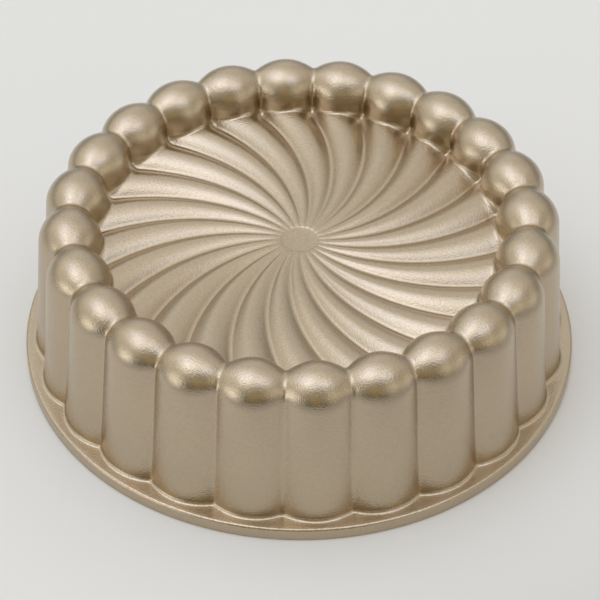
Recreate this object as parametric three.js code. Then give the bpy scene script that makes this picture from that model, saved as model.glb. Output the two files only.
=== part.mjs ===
// Fluted round cake pan, standing upside down on its rim.
// Millimetres, +Z up, origin at the centre of the rim plane.
import * as THREE from 'three';

// Lobes round the wall. Each lobe runs over the crown and carries on as one petal of the base.
const LOBE_COUNT = 24;

// Rim flange, the face that the pan stands on.
const RIM_THICKNESS = 6.2;
const RIM_OVERHANG = 5.1; // flange beyond the lobes' crests
const RIM_EDGE_ROUND = 1.2; // rounded upper edge of the flange
const FOOT_FILLET = 1.6; // between flange and wall

// Fluted wall and rounded crown, measured on the outside.
const PAN_HEIGHT = 78.9; // rim plane to the top of the crown
const LOBE_FOOT_RADIUS = 119.9; // axis to a lobe's crest at the flange
const LOBE_FOOT_DEPTH = 3.7; // crest to groove at the wall's foot
const LOBE_CROWN_DEPTH = 5.5; // crest to groove on both sides of the crown
const WALL_DRAFT_DEGREES = 4.0; // how far the lobes' crests lean in
const CROWN_RADIUS = 14.2; // round of the crown along a lobe's crest
const CROWN_GROOVE_DEPTH = 3.9; // crest to groove on top of the crown

// Swirled base inside the ring of crowns.
const BASE_RECESS = 15.8; // top of the crown down to the petals' crests
const PETAL_FILLET = 1.6; // between base and crown on a petal's crest
const GROOVE_FILLET = 3.8; // the same in the grooves
const PETAL_DEPTH = 4.2; // crest to groove at the petals' outer ends
const PETAL_LEAN_DEGREES = 1.5; // crest of a petal from the middle between its grooves
const PETAL_HUB_DEPTH = 0.1; // crest to groove at the petals' inner ends
const SWIRL_DEGREES = 26.7; // turn of a petal from its outer end to the hub
const HUB_RADIUS = 8.9;
const HUB_DROP = 3.0; // hub below the petals' crests at their outer ends
const HUB_STEP_WIDTH = 1.0; // slope from the petals' inner ends to the flat hub
const HUB_STEP_HEIGHT = 0.25;

// Power that a lobe's depth grows by from crest to groove, on the wall and on the base.
const WALL_POWER = 2.0;
const PETAL_POWER = 2.0;

// Metal and lining.
const WALL_THICKNESS = 3.2;
const LIP_ROUND = 1.5; // rounded inner edge of the rim face
const LINING_THICKNESS = 0.15;

// Facets of each stretch of the surface.
const OUTSIDE_COLUMNS_PER_LOBE = 6;
const INSIDE_COLUMNS_PER_LOBE = 4;
const RIM_EDGE_STEPS = 2;
const FOOT_STEPS = 2;
const LIP_STEPS = 2;
const CROWN_STEPS = 6;
const FILLET_STEPS = 3;
const BASE_STEPS = 7;

// Sizes that follow from the driving ones.
const RIM_RADIUS = LOBE_FOOT_RADIUS + RIM_OVERHANG;
const DRAFT = THREE.MathUtils.degToRad(WALL_DRAFT_DEGREES);
const SWIRL = THREE.MathUtils.degToRad(SWIRL_DEGREES);
const PETAL_LEAN = THREE.MathUtils.degToRad(PETAL_LEAN_DEGREES);
const PITCH = (2 * Math.PI) / LOBE_COUNT;
const LINING_OFFSET = WALL_THICKNESS + LINING_THICKNESS;

// The surface is stretched between two rails, one along a lobe's crest and one along the groove beside it.
const CREST_CROWN_HEIGHT = PAN_HEIGHT - CROWN_RADIUS;
const CREST_LEAN = Math.tan(DRAFT) * (CREST_CROWN_HEIGHT - RIM_THICKNESS);
const CROWN_RING_RADIUS = LOBE_FOOT_RADIUS - CREST_LEAN - CROWN_RADIUS / Math.cos(DRAFT);
const GROOVE_FOOT_RADIUS = LOBE_FOOT_RADIUS - LOBE_FOOT_DEPTH;
const GROOVE_CROWN_RADIUS = CROWN_RADIUS - LOBE_CROWN_DEPTH;
const GROOVE_CROWN_HEIGHT = PAN_HEIGHT - CROWN_GROOVE_DEPTH - GROOVE_CROWN_RADIUS;
const BASE_HEIGHT = PAN_HEIGHT - BASE_RECESS;
const HUB_HEIGHT = BASE_HEIGHT - HUB_DROP;
const PETAL_END_HEIGHT = HUB_HEIGHT + HUB_STEP_HEIGHT;

const crest = {
  footRadius: LOBE_FOOT_RADIUS,
  draft: DRAFT,
  crownRadius: CROWN_RADIUS,
  crownHeight: CREST_CROWN_HEIGHT,
  fillet: PETAL_FILLET,
  baseHeight: BASE_HEIGHT,
  hubHeight: PETAL_END_HEIGHT + PETAL_HUB_DEPTH,
};

const groove = {
  footRadius: GROOVE_FOOT_RADIUS,
  draft: grooveDraft(),
  crownRadius: GROOVE_CROWN_RADIUS,
  crownHeight: GROOVE_CROWN_HEIGHT,
  fillet: GROOVE_FILLET,
  baseHeight: BASE_HEIGHT - PETAL_DEPTH,
  hubHeight: PETAL_END_HEIGHT,
};

// Lean of a groove, which runs straight up from the wall's foot until it touches its own round of the crown.
function grooveDraft() {
  const inward = GROOVE_FOOT_RADIUS - CROWN_RING_RADIUS;
  const rise = GROOVE_CROWN_HEIGHT - RIM_THICKNESS;
  return Math.atan2(inward, rise) - Math.asin(GROOVE_CROWN_RADIUS / Math.hypot(inward, rise));
}

// Radius of the leaning wall at a height, moved into the metal by an offset.
function wallRadius(side, height, offset) {
  const lean = Math.tan(side.draft) * (height - RIM_THICKNESS);
  return side.footRadius - lean - offset / Math.cos(side.draft);
}

function arc(centre, radius, from, to, steps) {
  const points = [];
  for (let i = 0; i <= steps; i += 1) {
    const angle = THREE.MathUtils.lerp(from, to, i / steps);
    const r = centre.r + radius * Math.cos(angle);
    const z = centre.z + radius * Math.sin(angle);
    points.push({ r, z, turn: 0, petal: 0 });
  }
  return points;
}

// Points spread evenly along a path.
function evenSteps(path, steps) {
  const lengths = [0];
  for (let i = 1; i < path.length; i += 1) {
    lengths.push(lengths[i - 1] + Math.hypot(path[i].r - path[i - 1].r, path[i].z - path[i - 1].z));
  }
  const points = [];
  let next = 1;
  for (let i = 0; i <= steps; i += 1) {
    const wanted = (lengths[path.length - 1] * i) / steps;
    while (next < path.length - 1 && lengths[next] < wanted) {
      next += 1;
    }
    const share = (wanted - lengths[next - 1]) / (lengths[next] - lengths[next - 1]);
    const r = THREE.MathUtils.lerp(path[next - 1].r, path[next].r, share);
    const z = THREE.MathUtils.lerp(path[next - 1].z, path[next].z, share);
    points.push({ r, z, turn: 0, petal: 0 });
  }
  return points;
}

// Fillet that leads from the crown's inner side to the base, and the angle at which the crown ends there.
function baseFillet(side) {
  const height = side.baseHeight + side.fillet;
  const reach = side.crownRadius + side.fillet;
  const rise = Math.max(height - side.crownHeight, 0);
  const crownEnd = Math.PI - Math.asin(rise / reach);
  return { r: CROWN_RING_RADIUS + reach * Math.cos(crownEnd), z: height, radius: side.fillet, crownEnd };
}

// Inner side of the crown and the fillet below it, from the end of the crown's round to the base.
// Over this stretch the lobes of the crown take on the section of the petals.
function innerDrop(fillet, crownPoint, offset) {
  const fineSteps = 4 * FILLET_STEPS;
  const radius = fillet.radius + offset;
  const filletArc = arc(fillet, radius, fillet.crownEnd - Math.PI, -Math.PI / 2, fineSteps);
  const upright = crownPoint.z > filletArc[0].z;
  const points = evenSteps([crownPoint, ...filletArc.slice(upright ? 0 : 1)], FILLET_STEPS).slice(1);
  return points.map((point, i) => ({ ...point, petal: (i + 1) / FILLET_STEPS }));
}

// Petal of one rail, from the fillet to the hub, then down to the flat of the hub.
function petal(side, outerRadius, offset) {
  const points = [];
  for (let i = 1; i <= BASE_STEPS; i += 1) {
    const along = i / BASE_STEPS;
    points.push({
      r: THREE.MathUtils.lerp(outerRadius, HUB_RADIUS, along),
      z: THREE.MathUtils.lerp(side.baseHeight, side.hubHeight, along) - offset,
      turn: -SWIRL * along,
      petal: 1,
    });
  }
  const hubEdge = { r: HUB_RADIUS - HUB_STEP_WIDTH, z: HUB_HEIGHT - offset, turn: -SWIRL, petal: 1 };
  return [...points, hubEdge];
}

// Crown, fillet and base of one rail, from the wall's top to the hub.
function crownAndBase(side, offset) {
  const fillet = baseFillet(side);
  const centre = { r: CROWN_RING_RADIUS, z: side.crownHeight };
  const crownArc = arc(centre, side.crownRadius - offset, side.draft, fillet.crownEnd, CROWN_STEPS);
  const drop = innerDrop(fillet, crownArc[CROWN_STEPS], offset);
  return [...crownArc, ...drop, ...petal(side, fillet.r, offset)];
}

// Outside of one rail: the flange's edge, the fillet at the wall's foot, then the crown and base.
function outsideRail(side) {
  const edgeCentre = { r: RIM_RADIUS - RIM_EDGE_ROUND, z: RIM_THICKNESS - RIM_EDGE_ROUND };
  const footHeight = RIM_THICKNESS + FOOT_FILLET;
  const footCentre = { r: wallRadius(side, footHeight, 0) + FOOT_FILLET, z: footHeight };
  return [
    { r: RIM_RADIUS, z: 0, turn: 0, petal: 0 },
    ...arc(edgeCentre, RIM_EDGE_ROUND, 0, Math.PI / 2, RIM_EDGE_STEPS),
    ...arc(footCentre, FOOT_FILLET, -Math.PI / 2, -Math.PI, FOOT_STEPS),
    ...crownAndBase(side, 0),
  ];
}

// Inside of the metal along one rail: the rounded lip, then the wall, crown and base.
function insideRail(side) {
  const lipCentre = { r: wallRadius(side, LIP_ROUND, WALL_THICKNESS) + LIP_ROUND, z: LIP_ROUND };
  const lip = arc(lipCentre, LIP_ROUND, -Math.PI / 2, -Math.PI, LIP_STEPS);
  return [...lip, ...crownAndBase(side, WALL_THICKNESS)];
}

// One face of the lining, from the top of the lip to the hub.
function liningRail(side, offset) {
  const start = { r: wallRadius(side, LIP_ROUND, offset), z: LIP_ROUND, turn: 0, petal: 0 };
  return [start, ...crownAndBase(side, offset)];
}

// Closed rings of points, one for each step along a pair of rails. A lobe's section is a power curve,
// and a petal's crest leans to one side while its grooves stay.
function ringsBetween(crestRail, grooveRail, columnsPerLobe) {
  const count = LOBE_COUNT * columnsPerLobe;
  return crestRail.map((top, step) => {
    const bottom = grooveRail[step];
    const power = THREE.MathUtils.lerp(WALL_POWER, PETAL_POWER, top.petal);
    const lean = PETAL_LEAN * top.petal;
    return Array.from({ length: count }, (_, column) => {
      const across = (2 * (column % columnsPerLobe)) / columnsPerLobe - 1;
      const depth = Math.abs(across) ** power;
      const radius = THREE.MathUtils.lerp(top.r, bottom.r, depth);
      const height = THREE.MathUtils.lerp(top.z, bottom.z, depth);
      const lobe = Math.floor(column / columnsPerLobe);
      const angle = (lobe + across / 2) * PITCH + top.turn - lean * (1 - Math.abs(across));
      return new THREE.Vector3(radius * Math.cos(angle), radius * Math.sin(angle), height);
    });
  });
}

function centrePoint(height) {
  return [new THREE.Vector3(0, 0, height)];
}

// Triangles between two rings of the same count, each quad split along its shorter diagonal.
function quadBand(lower, upper, triangles) {
  lower.forEach((a, i) => {
    const next = (i + 1) % lower.length;
    const b = lower[next];
    const c = upper[next];
    const d = upper[i];
    if (a.distanceTo(c) < b.distanceTo(d)) {
      triangles.push(a, b, c, a, c, d);
    } else {
      triangles.push(a, b, d, b, c, d);
    }
  });
}

// Triangles between two rings of different counts, or between a ring and a single point.
function mixedBand(lower, upper, triangles) {
  const lowerSteps = lower.length > 1 ? lower.length : 0;
  const upperSteps = upper.length > 1 ? upper.length : 0;
  let i = 0;
  let j = 0;
  while (i < lowerSteps || j < upperSteps) {
    const a = lower[i % lower.length];
    const d = upper[j % upper.length];
    const lowerFirst = j === upperSteps || (i < lowerSteps && (i + 1) * upperSteps <= (j + 1) * lowerSteps);
    if (lowerFirst) {
      i += 1;
      triangles.push(a, lower[i % lower.length], d);
    } else {
      j += 1;
      triangles.push(a, upper[j % upper.length], d);
    }
  }
}

// A closed body from rings in order, which starts and ends at a single point on the axis.
function closedBody(rings) {
  const triangles = [];
  for (let i = 1; i < rings.length; i += 1) {
    const join = rings[i - 1].length === rings[i].length ? quadBand : mixedBand;
    join(rings[i - 1], rings[i], triangles);
  }
  const geometry = new THREE.BufferGeometry().setFromPoints(triangles);
  geometry.computeVertexNormals();
  return geometry;
}

// The casting: down the inside from the hub to the lip, across the rim face, and up the outside to the hub.
function castShell() {
  const inside = ringsBetween(insideRail(crest), insideRail(groove), INSIDE_COLUMNS_PER_LOBE).reverse();
  const outside = ringsBetween(outsideRail(crest), outsideRail(groove), OUTSIDE_COLUMNS_PER_LOBE);
  const geometry = closedBody([
    centrePoint(HUB_HEIGHT - WALL_THICKNESS),
    ...inside,
    ...outside,
    centrePoint(HUB_HEIGHT),
  ]);
  const material = new THREE.MeshStandardMaterial({ color: 0xb8a384, roughness: 0.38, metalness: 0.9 });
  const mesh = new THREE.Mesh(geometry, material);
  mesh.name = 'cast_shell';
  return mesh;
}

// The lining: a thin shell on the inside of the casting, with the same facets as the metal behind it.
function nonstickLining() {
  const face = (offset) =>
    ringsBetween(liningRail(crest, offset), liningRail(groove, offset), INSIDE_COLUMNS_PER_LOBE);
  const geometry = closedBody([
    centrePoint(HUB_HEIGHT - LINING_OFFSET),
    ...face(LINING_OFFSET).reverse(),
    ...face(WALL_THICKNESS),
    centrePoint(HUB_HEIGHT - WALL_THICKNESS),
  ]);
  const material = new THREE.MeshStandardMaterial({ color: 0x9c8769, roughness: 0.45, metalness: 0.6 });
  const mesh = new THREE.Mesh(geometry, material);
  mesh.name = 'nonstick_lining';
  return mesh;
}

const pan = new THREE.Group();
pan.add(castShell(), nonstickLining());

export default pan;
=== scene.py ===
"""Looks of the fluted cake pan: dense smooth meshes, baked metallic finishes and soft studio light."""
import math

import bpy
import numpy as np
from mathutils import Matrix, Vector


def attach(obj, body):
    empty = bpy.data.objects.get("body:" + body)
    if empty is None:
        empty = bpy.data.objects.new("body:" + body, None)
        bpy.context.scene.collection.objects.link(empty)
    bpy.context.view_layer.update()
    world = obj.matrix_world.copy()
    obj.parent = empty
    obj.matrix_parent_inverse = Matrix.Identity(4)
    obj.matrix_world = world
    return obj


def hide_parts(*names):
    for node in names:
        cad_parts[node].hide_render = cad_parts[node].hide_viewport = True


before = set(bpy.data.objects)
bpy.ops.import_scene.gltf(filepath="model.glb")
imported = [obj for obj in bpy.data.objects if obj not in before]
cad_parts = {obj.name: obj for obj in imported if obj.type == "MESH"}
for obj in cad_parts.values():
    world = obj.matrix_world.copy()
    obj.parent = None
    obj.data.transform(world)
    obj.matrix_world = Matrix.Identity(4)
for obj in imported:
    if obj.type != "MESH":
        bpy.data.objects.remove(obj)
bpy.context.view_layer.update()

MM = 0.001

# Sizes of the pan in millimetres and degrees, the same as the solids have.
LOBE_COUNT = 24
RIM_THICKNESS = 6.2
RIM_OVERHANG = 5.1
RIM_EDGE_ROUND = 1.2
FOOT_FILLET = 1.6
PAN_HEIGHT = 78.9
LOBE_FOOT_RADIUS = 119.9
LOBE_FOOT_DEPTH = 3.7
LOBE_CROWN_DEPTH = 5.5
WALL_DRAFT_DEGREES = 4.0
CROWN_RADIUS = 14.2
CROWN_GROOVE_DEPTH = 3.9
BASE_RECESS = 15.8
PETAL_FILLET = 1.6
GROOVE_FILLET = 3.8
PETAL_DEPTH = 4.2
PETAL_HUB_DEPTH = 0.1
PETAL_LEAN_DEGREES = 1.5
SWIRL_DEGREES = 26.7
HUB_RADIUS = 8.9
HUB_DROP = 3.0
HUB_STEP_WIDTH = 1.0
HUB_STEP_HEIGHT = 0.25
WALL_THICKNESS = 3.2
LIP_ROUND = 1.5
LINING_THICKNESS = 0.15

# Power that a lobe's depth grows by from crest to groove, on the wall and on the base.
WALL_POWER = 2.0
PETAL_POWER = 2.0

# Small forms that only these meshes have: the round under the rim's edge, the gap behind the lining, and
# half the width of the round at the bottom of a groove, with the largest share of half a lobe it takes up.
RIM_LOWER_ROUND = 0.5
LINING_GAP = 0.02
GROOVE_ROUND = 1.2
GROOVE_ROUND_LIMIT = 0.3

# Steps of the meshes across half a lobe and along each stretch of the section.
COLUMNS_PER_HALF_LOBE = 12
RIM_LOWER_STEPS = 3
RIM_FACE_STEPS = 2
RIM_EDGE_STEPS = 6
FLANGE_STEPS = 3
FOOT_STEPS = 6
WALL_STEPS = 4
CROWN_STEPS = 22
FILLET_STEPS = 8
BASE_STEPS = 30
HUB_STEPS = 3
LIP_STEPS = 4

# Points of a fillet for each one kept when they are spread evenly, and the share of the hub's radius at
# which the flat hub has a ring of points.
FILLET_FINENESS = 4
HUB_FLAT_SHARE = 0.5

# Finishes of the casting and of the lining: the scale and detail of their noises, and bumps in metres.
CASTING_LOOK = {
    "metallic": 1.0,
    "roughness": (0.23, 0.27),
    "grain": (1500.0, 1.0),
    "clouds": (28.0, 3.0),
    "bump_strength": 1.0,
    "bump_height": 0.00012,
}
LINING_LOOK = {
    "metallic": 0.85,
    "roughness": (0.36, 0.46),
    "grain": (900.0, 3.0),
    "clouds": (22.0, 4.0),
    "bump_strength": 0.15,
    "bump_height": 0.0002,
}

# Tones as stops of ramps: the casting's flakes, the clouds that dim them a little, and the lining.
FLAKE_SCALE = 2600.0
FLAKE_TONES = [(0.0, (0.482, 0.395, 0.288)), (1.0, (0.588, 0.482, 0.351))]
CLOUD_TONES = [(0.3, (0.96, 0.96, 0.96)), (0.7, (1.0, 1.0, 1.0))]
LINING_TONES = [(0.3, (0.30, 0.24, 0.165)), (0.7, (0.35, 0.28, 0.195))]

# Floor in metres: half its width, its tone near the pan and its darker tone far off, and a pool of light
# painted into the floor's colour, with painted shade outside it. The pool's centre lies behind the pan, at
# an azimuth that is measured as the sky's glows are.
FLOOR_HALF = 4.0
FLOOR_TONE = (0.80, 0.79, 0.76)
FLOOR_PAINTED_SHADE_TONE = (0.52, 0.515, 0.50)
PAINTED_POOL_AZIMUTH = -150
PAINTED_POOL_SHIFT = 0.20
PAINTED_POOL_FULL = 0.33
PAINTED_POOL_GONE = 0.52

# Camera of the photograph, fitted to the rim and the lobes. Its aim and distance are in metres.
FOCAL_PIXELS = 2610.7
IMAGE_PIXELS = 600
SENSOR_MM = 36.0
AIM = Vector((0.0002, 0, 0.02317))
CAMERA_DISTANCE = 1.18715
CAMERA_ELEVATION = math.radians(43.158)
CAMERA_AZIMUTH = math.radians(-94.305)
CAMERA_ROLL = 0.008

# Glows of the studio sky, in degrees: azimuth from the camera's side, positive to the picture's right, and
# elevation, then the angles from its centre at which the glow is full and gone, and its colour.
SKY_GLOWS = [
    ("overhead_left", -60, 68, 0, 30, (1.00, 1.10, 1.36)),
    ("overhead_right", 60, 68, 0, 30, (0.86, 1.02, 1.40)),
    ("overhead_back", -120, 68, 0, 30, (0.42, 0.56, 0.98)),
    ("left", -60, 4, 0, 34, (1.50, 1.56, 1.55)),
    ("right", 90, 4, 0, 34, (0.60, 0.62, 0.58)),
    ("right_front", 45, 22, 0, 32, (0.64, 0.61, 0.52)),
    ("front", 0, 22, 0, 32, (0.50, 0.40, 0.20)),
    ("back", 180, 22, 0, 32, (0.43, 0.41, 0.36)),
    ("wide_left", -90, 45, 20, 80, (0.78, 0.76, 0.68)),
    ("wide_right", 90, 45, 20, 80, (0.50, 0.46, 0.38)),
    ("wide_back", 180, 45, 20, 80, (0.40, 0.42, 0.45)),
]

# Sizes that follow from those above.
RIM_RADIUS = LOBE_FOOT_RADIUS + RIM_OVERHANG
DRAFT = math.radians(WALL_DRAFT_DEGREES)
SWIRL = math.radians(SWIRL_DEGREES)
PETAL_LEAN = math.radians(PETAL_LEAN_DEGREES)
PITCH = 2 * math.pi / LOBE_COUNT
CREST_CROWN_HEIGHT = PAN_HEIGHT - CROWN_RADIUS
CREST_LEAN = math.tan(DRAFT) * (CREST_CROWN_HEIGHT - RIM_THICKNESS)
CROWN_RING_RADIUS = LOBE_FOOT_RADIUS - CREST_LEAN - CROWN_RADIUS / math.cos(DRAFT)
GROOVE_FOOT_RADIUS = LOBE_FOOT_RADIUS - LOBE_FOOT_DEPTH
GROOVE_CROWN_RADIUS = CROWN_RADIUS - LOBE_CROWN_DEPTH
GROOVE_CROWN_HEIGHT = PAN_HEIGHT - CROWN_GROOVE_DEPTH - GROOVE_CROWN_RADIUS
BASE_HEIGHT = PAN_HEIGHT - BASE_RECESS
HUB_HEIGHT = BASE_HEIGHT - HUB_DROP
PETAL_END_HEIGHT = HUB_HEIGHT + HUB_STEP_HEIGHT


def groove_draft():
    """Lean of a groove, which runs straight up from the wall's foot until it touches its own crown."""
    inward = GROOVE_FOOT_RADIUS - CROWN_RING_RADIUS
    rise = GROOVE_CROWN_HEIGHT - RIM_THICKNESS
    return math.atan2(inward, rise) - math.asin(GROOVE_CROWN_RADIUS / math.hypot(inward, rise))


# The two rails that the surface is stretched between: along a lobe's crest and along a groove.
CREST = {
    "foot": LOBE_FOOT_RADIUS,
    "draft": DRAFT,
    "crown": CROWN_RADIUS,
    "crown_height": CREST_CROWN_HEIGHT,
    "fillet": PETAL_FILLET,
    "base_height": BASE_HEIGHT,
    "hub_height": PETAL_END_HEIGHT + PETAL_HUB_DEPTH,
}
GROOVE = {
    "foot": GROOVE_FOOT_RADIUS,
    "draft": groove_draft(),
    "crown": GROOVE_CROWN_RADIUS,
    "crown_height": GROOVE_CROWN_HEIGHT,
    "fillet": GROOVE_FILLET,
    "base_height": BASE_HEIGHT - PETAL_DEPTH,
    "hub_height": PETAL_END_HEIGHT,
}


def wall_radius(side, height, offset):
    """Radius of the leaning wall at a height, moved into the metal by an offset."""
    lean = math.tan(side["draft"]) * (height - RIM_THICKNESS)
    return side["foot"] - lean - offset / math.cos(side["draft"])


def arc(centre, radius, start, end, steps):
    """Points along an arc, from one angle to another."""
    angles = np.linspace(start, end, steps + 1)
    return np.stack([centre[0] + radius * np.cos(angles), centre[1] + radius * np.sin(angles)], 1)


def line(start, end, steps):
    """Points along a straight line."""
    return np.linspace(start, end, steps + 1)


def even_steps(points, steps):
    """The same path with its points spread evenly along it."""
    lengths = np.concatenate([[0], np.cumsum(np.hypot(*np.diff(points, axis=0).T))])
    wanted = np.linspace(0, lengths[-1], steps + 1)
    return np.stack([np.interp(wanted, lengths, points[:, k]) for k in range(2)], 1)


def smooth_step(share):
    """Share from 0 to 1 that starts and ends level."""
    return share * share * (3 - 2 * share)


def joined(*stretches):
    """Stretches end to end, without the point that two neighbours share."""
    return np.concatenate([stretches[0]] + [stretch[1:] for stretch in stretches[1:]])


def base_fillet(side):
    """Centre of the fillet between crown and base, and the angle at which the crown ends there."""
    height = side["base_height"] + side["fillet"]
    reach = side["crown"] + side["fillet"]
    rise = max(height - side["crown_height"], 0)
    crown_end = math.pi - math.asin(rise / reach)
    return (CROWN_RING_RADIUS + reach * math.cos(crown_end), height), crown_end


def wall_to_base(side, offset, wall_start):
    """Wall, crown and fillet of one rail, from a height on the wall to the base's edge."""
    fillet, crown_end = base_fillet(side)
    centre = (CROWN_RING_RADIUS, side["crown_height"])
    crown = arc(centre, side["crown"] - offset, side["draft"], crown_end, CROWN_STEPS)
    wall = line((wall_radius(side, wall_start, offset), wall_start), crown[0], WALL_STEPS)
    fine_steps = FILLET_FINENESS * FILLET_STEPS
    drop = arc(fillet, side["fillet"] + offset, crown_end - math.pi, -math.pi / 2, fine_steps)
    inner = even_steps(np.concatenate([crown[-1:], drop]), FILLET_STEPS)
    return joined(wall, crown, inner)


def base_rows(side, offset):
    """Base of one rail, straight from its edge to the hub's step."""
    fillet, _ = base_fillet(side)
    start = (fillet[0], side["base_height"] - offset)
    end = (HUB_RADIUS, side["hub_height"] - offset)
    return line(start, end, BASE_STEPS)


def hub_rows(side, offset):
    """Rounded step from the petals' ends down to the flat hub."""
    share = np.linspace(0, 1, HUB_STEPS + 1)
    ease = smooth_step(share)
    radius = HUB_RADIUS - HUB_STEP_WIDTH * share
    height = side["hub_height"] + (HUB_HEIGHT - side["hub_height"]) * ease - offset
    flat = np.array([[HUB_RADIUS * HUB_FLAT_SHARE, HUB_HEIGHT - offset]])
    return np.concatenate([np.stack([radius, height], 1), flat])


def with_turn(before_base, base, hub):
    """Rail as rows of radius, height, turn and share of the petals' own section.

    Only the base turns, in step with the way to the hub. The section changes over the fillet before it.
    """
    turns = np.concatenate([
        np.zeros(len(before_base) - 1),
        -SWIRL * np.linspace(0, 1, len(base)),
        np.full(len(hub) - 1, -SWIRL),
    ])
    shares = np.concatenate([
        np.zeros(len(before_base) - 1 - FILLET_STEPS),
        smooth_step(np.linspace(0, 1, FILLET_STEPS + 1)),
        np.ones(len(base) + len(hub) - 2),
    ])
    return np.column_stack([joined(before_base, base, hub), turns, shares])


def outside_rail(side):
    """Rail of the outside, from under the rim's edge over flange, wall and crown to the hub."""
    lower_centre = (RIM_RADIUS - RIM_LOWER_ROUND, RIM_LOWER_ROUND)
    lower = arc(lower_centre, RIM_LOWER_ROUND, -math.pi / 2, 0, RIM_LOWER_STEPS)
    edge_centre = (RIM_RADIUS - RIM_EDGE_ROUND, RIM_THICKNESS - RIM_EDGE_ROUND)
    edge = arc(edge_centre, RIM_EDGE_ROUND, 0, math.pi / 2, RIM_EDGE_STEPS)
    foot_height = RIM_THICKNESS + FOOT_FILLET
    foot_centre = (wall_radius(side, foot_height, 0) + FOOT_FILLET, foot_height)
    foot = arc(foot_centre, FOOT_FILLET, -math.pi / 2, -math.pi, FOOT_STEPS)
    face = line(lower[-1], edge[0], RIM_FACE_STEPS)
    flange = line(edge[-1], foot[0], FLANGE_STEPS)
    before_base = joined(lower, face, edge, flange, foot, wall_to_base(side, 0, foot_height))
    return with_turn(before_base, base_rows(side, 0), hub_rows(side, 0))


def inside_rail(side, offset, with_lip):
    """Rail of the inside at an offset from the outside, with or without the lip's round at the rim face."""
    before_base = wall_to_base(side, offset, LIP_ROUND)
    if with_lip:
        lip_centre = (before_base[0][0] + LIP_ROUND, LIP_ROUND)
        lip = arc(lip_centre, LIP_ROUND, -math.pi / 2, -math.pi, LIP_STEPS)
        before_base = joined(lip, before_base)
    return with_turn(before_base, base_rows(side, offset), hub_rows(side, offset))


def lobe_places():
    """Places across one lobe: -1 in a groove, 0 on the crest, and the last just before the next groove."""
    half = np.sin(np.linspace(0, math.pi / 2, COLUMNS_PER_HALF_LOBE + 1))
    return np.concatenate([-half[:0:-1], half[:-1]])


def lobe_section(across, power, groove_round):
    """Share of the way from crest to groove across a lobe: a power curve that ends in a rounded groove."""
    size = np.abs(across)
    edge = 1 - groove_round
    edge_slope = power * edge ** (power - 1)
    rounded = edge ** power + edge_slope * ((size - edge) - (size - edge) ** 2 / (2 * groove_round))
    section = np.where(size <= edge, size ** power, rounded)
    return section / (edge ** power + edge_slope * groove_round / 2)


def lobed_rows(crest, groove):
    """Grid of points between a crest rail and a groove rail, rows by columns, in metres."""
    across = lobe_places()
    lobes = np.arange(LOBE_COUNT)
    angles = ((lobes[:, None] + across / 2) * PITCH).ravel()
    across = np.tile(across, LOBE_COUNT)
    share = crest[:, 3:4]
    groove_round = np.minimum(GROOVE_ROUND / (crest[:, :1] * PITCH / 2), GROOVE_ROUND_LIMIT)
    power = WALL_POWER + (PETAL_POWER - WALL_POWER) * share
    depth = lobe_section(across, power, groove_round)
    radius = crest[:, :1] + (groove[:, :1] - crest[:, :1]) * depth
    height = crest[:, 1:2] + (groove[:, 1:2] - crest[:, 1:2]) * depth
    angle = angles + crest[:, 2:3] - PETAL_LEAN * share * (1 - np.abs(across))
    return np.stack([radius * np.cos(angle), radius * np.sin(angle), height], -1) * MM


def closed_mesh(name, rows, first_height, last_height):
    """Closed mesh through rows of points in order, from one point on the axis to another."""
    count, columns = rows.shape[:2]
    first = np.array([[0, 0, first_height * MM]])
    last = np.array([[0, 0, last_height * MM]])
    points = np.concatenate([first, rows.reshape(-1, 3), last])
    index = 1 + np.arange(count * columns).reshape(count, columns)
    after = np.roll(index, -1, axis=1)
    quads = np.stack([index[:-1], after[:-1], after[1:], index[1:]], -1).reshape(-1, 4)
    start_fan = np.stack([np.zeros(columns, int), after[0], index[0]], -1)
    end_fan = np.stack([index[-1], after[-1], np.full(columns, len(points) - 1)], -1)
    faces = quads.tolist() + start_fan.tolist() + end_fan.tolist()
    mesh = bpy.data.meshes.new(name)
    mesh.from_pydata(points.tolist(), [], faces)
    mesh.polygons.foreach_set("use_smooth", [True] * len(mesh.polygons))
    mesh.update()
    piece = bpy.data.objects.new(name, mesh)
    bpy.context.scene.collection.objects.link(piece)
    return piece


def inside_rows(offset, with_lip):
    """Grid of the inside at an offset from the outside."""
    return lobed_rows(inside_rail(CREST, offset, with_lip), inside_rail(GROOVE, offset, with_lip))


def make_casting():
    """The metal: down the inside from the hub to the rim, then up the outside back to the hub."""
    outside = lobed_rows(outside_rail(CREST), outside_rail(GROOVE))
    rows = np.concatenate([inside_rows(WALL_THICKNESS, True)[::-1], outside])
    return closed_mesh("pan_casting", rows, HUB_HEIGHT - WALL_THICKNESS, HUB_HEIGHT)


def make_lining():
    """The thin lining, which lies on the metal's inside above the lip's round."""
    near = WALL_THICKNESS + LINING_GAP
    far = WALL_THICKNESS + LINING_THICKNESS
    rows = np.concatenate([inside_rows(far, False)[::-1], inside_rows(near, False)])
    return closed_mesh("pan_lining", rows, HUB_HEIGHT - far, HUB_HEIGHT - near)


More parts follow.
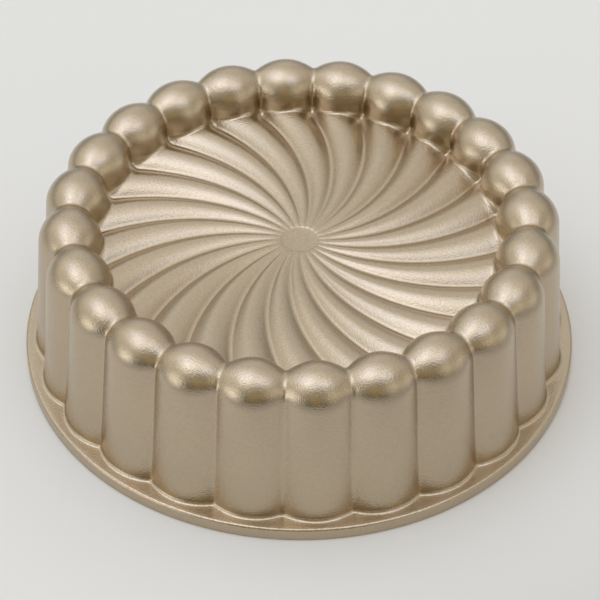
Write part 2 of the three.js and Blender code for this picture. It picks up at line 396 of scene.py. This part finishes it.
class Nodes:
    """Adds nodes to one material or world. An input that is a socket is linked, any other is set."""

    def __init__(self, tree):
        self.tree = tree
        tree.nodes.clear()

    def add(self, kind, inputs=None, **settings):
        node = self.tree.nodes.new(kind)
        for key, value in settings.items():
            setattr(node, key, value)
        for key, value in (inputs or {}).items():
            if isinstance(value, bpy.types.NodeSocket):
                self.tree.links.new(value, node.inputs[key])
            else:
                node.inputs[key].default_value = value
        return node

    def noise(self, place, scale, detail):
        node = self.add("ShaderNodeTexNoise", {"Vector": place, "Scale": scale, "Detail": detail})
        return node.outputs["Fac"]

    def mix(self, blend, factor, first, second, label):
        inputs = {"Factor": factor, "A": first, "B": second}
        node = self.add("ShaderNodeMix", inputs, data_type="RGBA", blend_type=blend, label=label)
        return node.outputs["Result"]

    def ramp(self, factor, stops):
        node = self.add("ShaderNodeValToRGB", {"Fac": factor})
        points = node.color_ramp.elements
        while len(points) < len(stops):
            points.new(1.0)
        for point, (place, colour) in zip(points, stops):
            point.position = place
            point.color = (*colour, 1)
        return node.outputs["Color"]


def new_material(name):
    material = bpy.data.materials.new(name)
    material.use_nodes = True
    return material, Nodes(material.node_tree)


def baked_surface(nodes, look, tone, clouds, grain):
    """Metallic surface whose roughness follows the clouds and whose bumps follow the grain."""
    smoothest, roughest = look["roughness"]
    rough = nodes.add("ShaderNodeMapRange", {"Value": clouds, "To Min": smoothest, "To Max": roughest})
    bump = nodes.add("ShaderNodeBump", {
        "Height": grain,
        "Strength": look["bump_strength"],
        "Distance": look["bump_height"],
    })
    shader = nodes.add("ShaderNodeBsdfPrincipled", {
        "Base Color": tone,
        "Roughness": rough.outputs["Result"],
        "Metallic": look["metallic"],
        "Normal": bump.outputs["Normal"],
    })
    nodes.add("ShaderNodeOutputMaterial", {"Surface": shader.outputs["BSDF"]})


def champagne_metal():
    """Baked metallic finish on the casting: fine grain, small flakes and faint clouding."""
    material, nodes = new_material("champagne_metal")
    place = nodes.add("ShaderNodeTexCoord").outputs["Object"]
    grain = nodes.noise(place, *CASTING_LOOK["grain"])
    clouds = nodes.noise(place, *CASTING_LOOK["clouds"])
    flakes = nodes.add("ShaderNodeTexVoronoi", {"Vector": place, "Scale": FLAKE_SCALE})
    flake_tone = nodes.ramp(flakes.outputs["Color"], FLAKE_TONES)
    tone = nodes.mix("MULTIPLY", 1.0, flake_tone, nodes.ramp(clouds, CLOUD_TONES), "clouded_flakes")
    baked_surface(nodes, CASTING_LOOK, tone, clouds, grain)
    return material


def release_lining():
    """Smooth release lining on the inside, a shade darker than the outside."""
    material, nodes = new_material("release_lining")
    place = nodes.add("ShaderNodeTexCoord").outputs["Object"]
    grain = nodes.noise(place, *LINING_LOOK["grain"])
    clouds = nodes.noise(place, *LINING_LOOK["clouds"])
    baked_surface(nodes, LINING_LOOK, nodes.ramp(clouds, LINING_TONES), clouds, grain)
    return material


def sky_direction(azimuth, elevation):
    """Direction at an azimuth from the camera's side and at an elevation, both in degrees."""
    turn = CAMERA_AZIMUTH + math.radians(azimuth)
    rise = math.radians(elevation)
    return math.cos(rise) * math.cos(turn), math.cos(rise) * math.sin(turn), math.sin(rise)


def floor_painted_pool():
    """Pale floor with a painted pool of light: its colour darkens softly away from the pan as painted
    shade.
    """
    material, nodes = new_material("floor_painted_pool")
    place = nodes.add("ShaderNodeNewGeometry").outputs["Position"]
    centre = tuple(PAINTED_POOL_SHIFT * part for part in sky_direction(PAINTED_POOL_AZIMUTH, 0))
    distance = nodes.add("ShaderNodeVectorMath", {0: place, 1: centre}, operation="DISTANCE")
    share = nodes.add("ShaderNodeMapRange", {
        "Value": distance.outputs["Value"],
        "From Min": PAINTED_POOL_FULL,
        "From Max": PAINTED_POOL_GONE,
    }, interpolation_type="SMOOTHSTEP")
    # Painted pool of light: the floor's colour goes from the pale tone near the pan to the darker far tone,
    # painted shade.
    tone = nodes.ramp(share.outputs["Result"], [(0.0, FLOOR_TONE), (1.0, FLOOR_PAINTED_SHADE_TONE)])
    shader = nodes.add("ShaderNodeBsdfDiffuse", {"Color": tone})
    nodes.add("ShaderNodeOutputMaterial", {"Surface": shader.outputs["BSDF"]})
    return material


def add_camera():
    """Camera at the photograph's angle, a little tilted as the photograph is."""
    level = Vector((math.cos(CAMERA_AZIMUTH), math.sin(CAMERA_AZIMUTH), 0))
    back = math.cos(CAMERA_ELEVATION) * level + math.sin(CAMERA_ELEVATION) * Vector((0, 0, 1))
    right = Vector((-level.y, level.x, 0))
    up = back.cross(right)
    tilted_right = math.cos(CAMERA_ROLL) * right + math.sin(CAMERA_ROLL) * up
    tilted_up = back.cross(tilted_right)
    data = bpy.data.cameras.new("camera")
    data.sensor_width = SENSOR_MM
    data.lens = FOCAL_PIXELS / IMAGE_PIXELS * SENSOR_MM
    camera = bpy.data.objects.new("camera", data)
    turn = Matrix((tilted_right, tilted_up, back)).transposed().to_4x4()
    camera.matrix_world = Matrix.Translation(AIM + CAMERA_DISTANCE * back) @ turn
    bpy.context.scene.collection.objects.link(camera)
    bpy.context.scene.camera = camera


def sky_glow(nodes, direction, centre, full, gone):
    """Share of a glow in each direction: 1 near its centre, fading smoothly to 0."""
    cosine = nodes.add("ShaderNodeVectorMath", {0: direction, 1: centre}, operation="DOT_PRODUCT")
    angle = nodes.add("ShaderNodeMath", {0: cosine.outputs["Value"]}, operation="ARCCOSINE")
    share = nodes.add("ShaderNodeMapRange", {
        "Value": angle.outputs[0],
        "From Min": math.radians(full),
        "From Max": math.radians(gone),
        "To Min": 1.0,
        "To Max": 0.0,
    }, interpolation_type="SMOOTHSTEP")
    return share.outputs["Result"]


def add_world():
    """Soft studio sky, the sum of all its glows."""
    world = bpy.data.worlds.new("studio")
    bpy.context.scene.world = world
    world.use_nodes = True
    nodes = Nodes(world.node_tree)
    direction = nodes.add("ShaderNodeTexCoord").outputs["Generated"]
    tone = (0, 0, 0, 1)
    for name, azimuth, elevation, full, gone, colour in SKY_GLOWS:
        share = sky_glow(nodes, direction, sky_direction(azimuth, elevation), full, gone)
        tone = nodes.mix("ADD", share, tone, (*colour, 1), name)
    light = nodes.add("ShaderNodeBackground", {"Color": tone, "Strength": 1.0})
    nodes.add("ShaderNodeOutputWorld", {"Surface": light.outputs["Background"]})


def add_floor():
    corners = [(-1, -1), (1, -1), (1, 1), (-1, 1)]
    mesh = bpy.data.meshes.new("floor")
    mesh.from_pydata([(x * FLOOR_HALF, y * FLOOR_HALF, 0) for x, y in corners], [], [(0, 1, 2, 3)])
    floor = bpy.data.objects.new("floor", mesh)
    mesh.materials.append(floor_painted_pool())
    bpy.context.scene.collection.objects.link(floor)


def dress(piece, node, material):
    piece.data.materials.append(material)
    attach(piece, "root")
    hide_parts(node)


add_camera()
dress(make_casting(), "cast_shell", champagne_metal())
dress(make_lining(), "nonstick_lining", release_lining())
add_floor()
add_world()
bpy.context.scene.view_settings.view_transform = "Standard"
